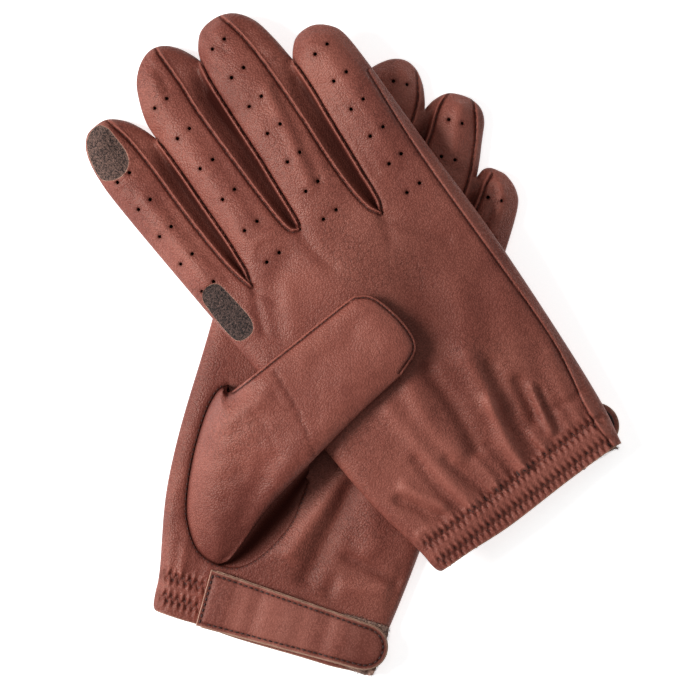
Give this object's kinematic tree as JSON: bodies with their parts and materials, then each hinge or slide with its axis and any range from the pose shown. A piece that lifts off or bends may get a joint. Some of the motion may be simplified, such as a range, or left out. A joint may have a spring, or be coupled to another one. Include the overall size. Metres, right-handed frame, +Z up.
{
  "type": "leather driving gloves",
  "caption": "Crossed pair of unlined brown leather driving gloves with perforated fingers, knit inlays, elastic wrists and hook-and-loop wrist straps.",
  "frame": {"origin": "centre of the pair's plan, on the table they lie on", "axes": "+Y near the lower glove's fingers, across the pair's longest extent; +X towards the upper glove's wrist; +Z up off the table"},
  "size_m": [0.2464, 0.26, 0.0301],
  "materials": {
    "glove_leather": "semi-matt aniline lambskin",
    "fourchette_leather": "semi-matt aniline lambskin, a little darker",
    "strap_leather": "smooth lambskin, pale cut edges",
    "thread": "waxed thread",
    "elastic": "woven elastic tape",
    "knit": "short-pile knit with dark flecks",
    "hook_tape": "woven hook tape",
    "loop_tape": "brushed loop tape"
  },
  "bodies": {
    "lower_glove": {"lower_elastic_thread": "thread", "lower_finger_seam_thread": "thread", "lower_fingertip_patch": "knit", "lower_fourchette_index_middle": "fourchette_leather", "lower_fourchette_middle_ring": "fourchette_leather", "lower_fourchette_ring_little": "fourchette_leather", "lower_knuckle_patch": "knit", "lower_side_seam_thread": "thread", "lower_strap_end_thread": "thread", "lower_strap_loop_tape": "loop_tape", "lower_strap_sewn_end": "strap_leather", "lower_thumb_root": "glove_leather", "lower_thumb_seam_thread": "thread", "lower_trank_back": "glove_leather", "lower_trank_fold": "glove_leather", "lower_trank_palm": "glove_leather", "lower_trank_side": "glove_leather", "lower_wrist_elastic": "elastic"},
    "lower_thumb": {"lower_thumb_inner": "glove_leather", "lower_thumb_outer": "glove_leather", "lower_thumb_tip_thread": "thread"},
    "lower_strap": {"lower_strap_hook_tape": "hook_tape", "lower_strap_lining": "strap_leather", "lower_strap_outer": "strap_leather", "lower_strap_thread": "thread"},
    "upper_glove": {"upper_elastic_thread": "thread", "upper_finger_seam_thread": "thread", "upper_fingertip_patch": "knit", "upper_fourchette_index_middle": "fourchette_leather", "upper_fourchette_middle_ring": "fourchette_leather", "upper_fourchette_ring_little": "fourchette_leather", "upper_knuckle_patch": "knit", "upper_side_seam_thread": "thread", "upper_strap_end_thread": "thread", "upper_strap_loop_tape": "loop_tape", "upper_strap_sewn_end": "strap_leather", "upper_thumb_inner": "glove_leather", "upper_thumb_outer": "glove_leather", "upper_thumb_root": "glove_leather", "upper_thumb_seam_thread": "thread", "upper_thumb_tip_thread": "thread", "upper_trank_back": "glove_leather", "upper_trank_fold": "glove_leather", "upper_trank_palm": "glove_leather", "upper_trank_side": "glove_leather", "upper_wrist_elastic": "elastic"},
    "upper_strap": {"upper_strap_hook_tape": "hook_tape", "upper_strap_lining": "strap_leather", "upper_strap_outer": "strap_leather", "upper_strap_thread": "thread"}
  },
  "joints": [
    {"name": "lower_thumb_lift", "type": "hinge", "parent": "lower_glove", "child": "lower_thumb", "pos_m": [-0.01681, -0.03535, 0.0301], "axis": [0.7782, -0.628, 0], "range_deg": [0, 60]},
    {"name": "lower_strap_open", "type": "hinge", "parent": "lower_glove", "child": "lower_strap", "pos_m": [-0.0297, -0.11415, 0.0115], "axis": [-0.0454, -0.999, 0], "range_deg": [0, 150]},
    {"name": "upper_glove_draw", "type": "slide", "parent": "lower_glove", "child": "upper_glove", "axis": [0, 1, 0], "range_m": [0, 0.25]},
    {"name": "upper_strap_open", "type": "hinge", "parent": "upper_glove", "child": "upper_strap", "pos_m": [0.06865, -0.05984, 0.00932], "axis": [-0.7698, 0.6212, 0.1468], "range_deg": [0, 100]}
  ]
}
